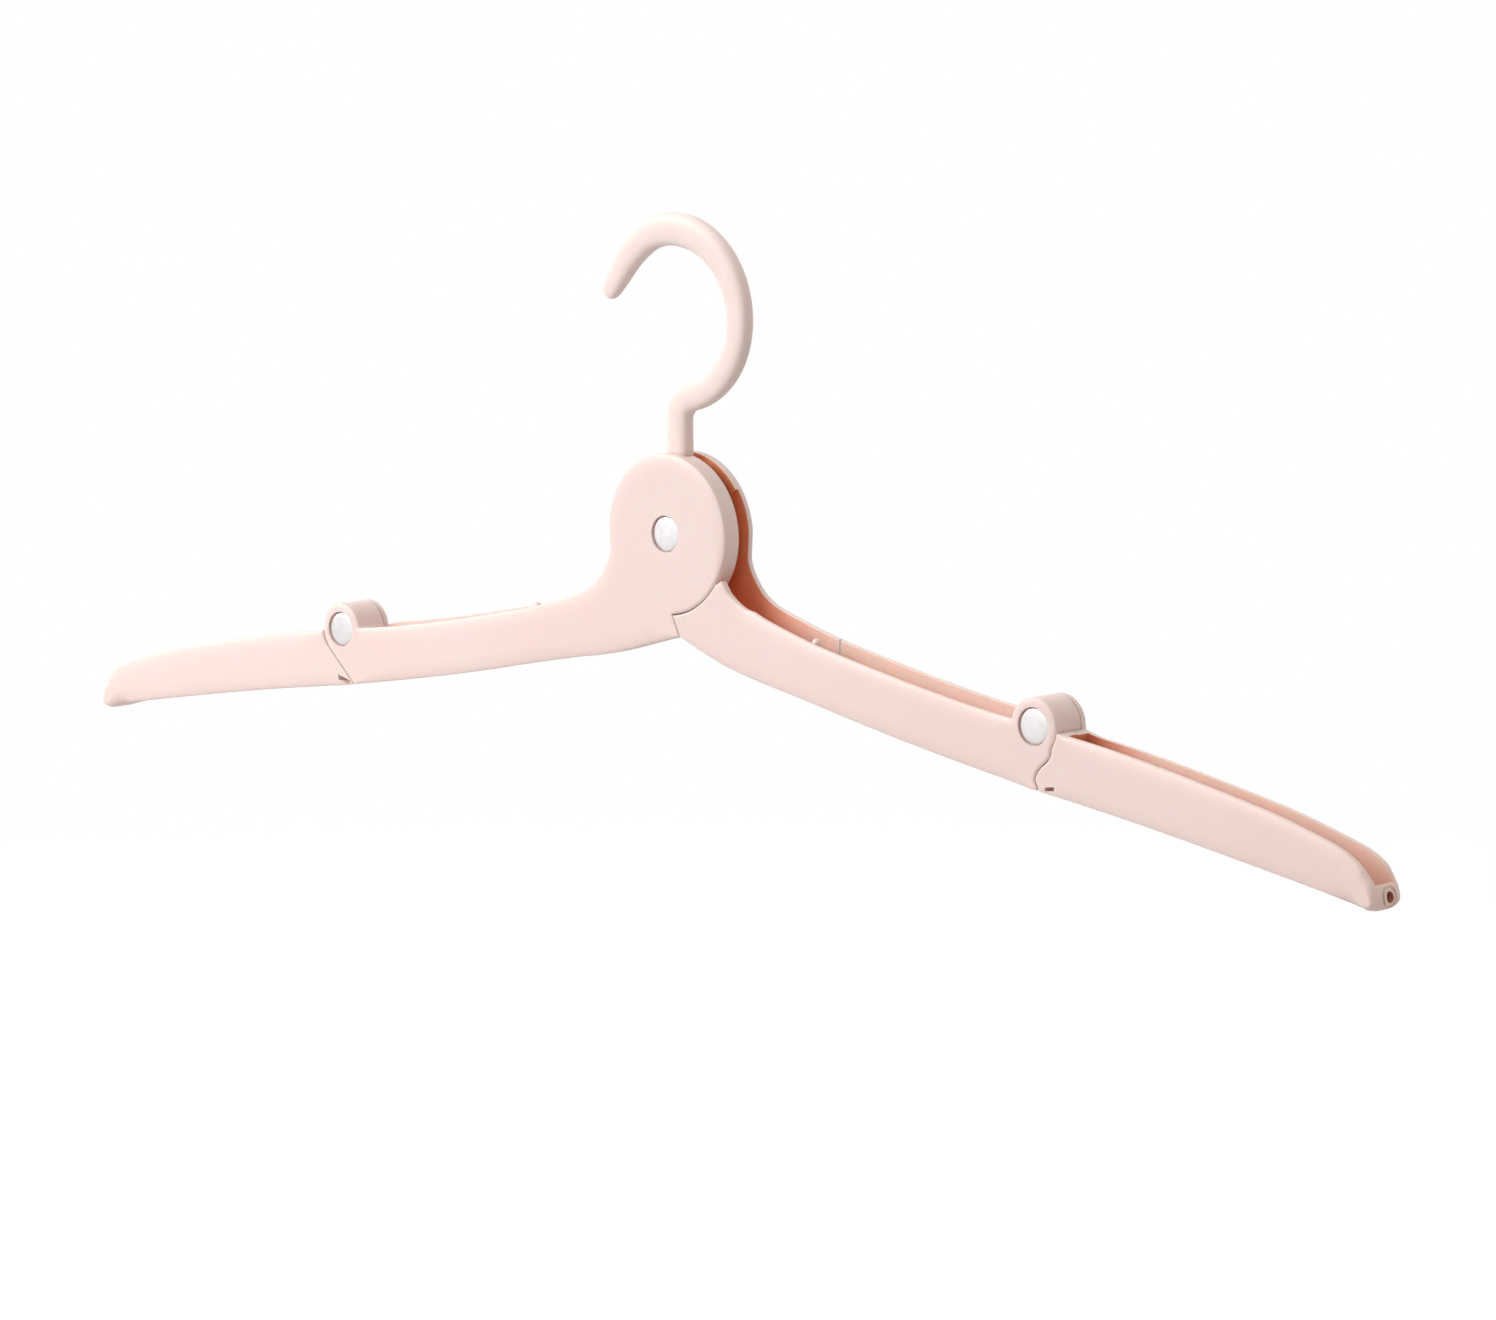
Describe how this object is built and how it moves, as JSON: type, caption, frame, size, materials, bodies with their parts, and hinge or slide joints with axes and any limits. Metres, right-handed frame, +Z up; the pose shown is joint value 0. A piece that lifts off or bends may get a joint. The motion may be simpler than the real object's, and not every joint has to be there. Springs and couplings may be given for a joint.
{
  "type": "folding travel hanger",
  "caption": "Folding travel hanger: channel arms hinge up at a riveted hub, and their tips fold inward, below a fixed hook.",
  "frame": {"origin": "top of the hook's inside, on the middle plane, where the rail carries the hanger", "axes": "+Z up along the hook's stem, X across the hanger from tip to tip, with +X to its right seen from the front, -Y towards the viewer in front"},
  "size_m": [0.4146, 0.011, 0.1383],
  "materials": {
    "plastic": "satin moulded plastic, pale pink",
    "rivet": "satin nickel-plated steel",
    "washer": "plain nylon"
  },
  "bodies": {
    "hook": {"hook": "plastic", "hub_front_washer": "washer", "hub_rear_washer": "washer", "hub_rivet_post": "rivet", "hub_rivet_cap": "rivet"},
    "left_arm": {"left_inner_arm": "plastic", "left_rivet_post": "rivet", "left_rivet_cap": "rivet"},
    "left_tip": {"left_outer_arm": "plastic"},
    "right_arm": {"right_inner_arm": "plastic", "right_rivet_post": "rivet", "right_rivet_cap": "rivet"},
    "right_tip": {"right_outer_arm": "plastic"}
  },
  "joints": [
    {"name": "left_arm_fold", "type": "hinge", "parent": "hook", "child": "left_arm", "pos_m": [0, 0, -0.0681], "axis": [0, 1, 0], "range_deg": [0, 65]},
    {"name": "left_tip_fold", "type": "hinge", "parent": "left_arm", "child": "left_tip", "pos_m": [-0.1135, 0, -0.1017], "axis": [0, 1, 0], "range_deg": [0, 180]},
    {"name": "right_arm_fold", "type": "hinge", "parent": "hook", "child": "right_arm", "pos_m": [0, 0, -0.0681], "axis": [0, -1, 0], "range_deg": [0, 65]},
    {"name": "right_tip_fold", "type": "hinge", "parent": "right_arm", "child": "right_tip", "pos_m": [0.1135, 0, -0.1017], "axis": [0, -1, 0], "range_deg": [0, 180]}
  ]
}
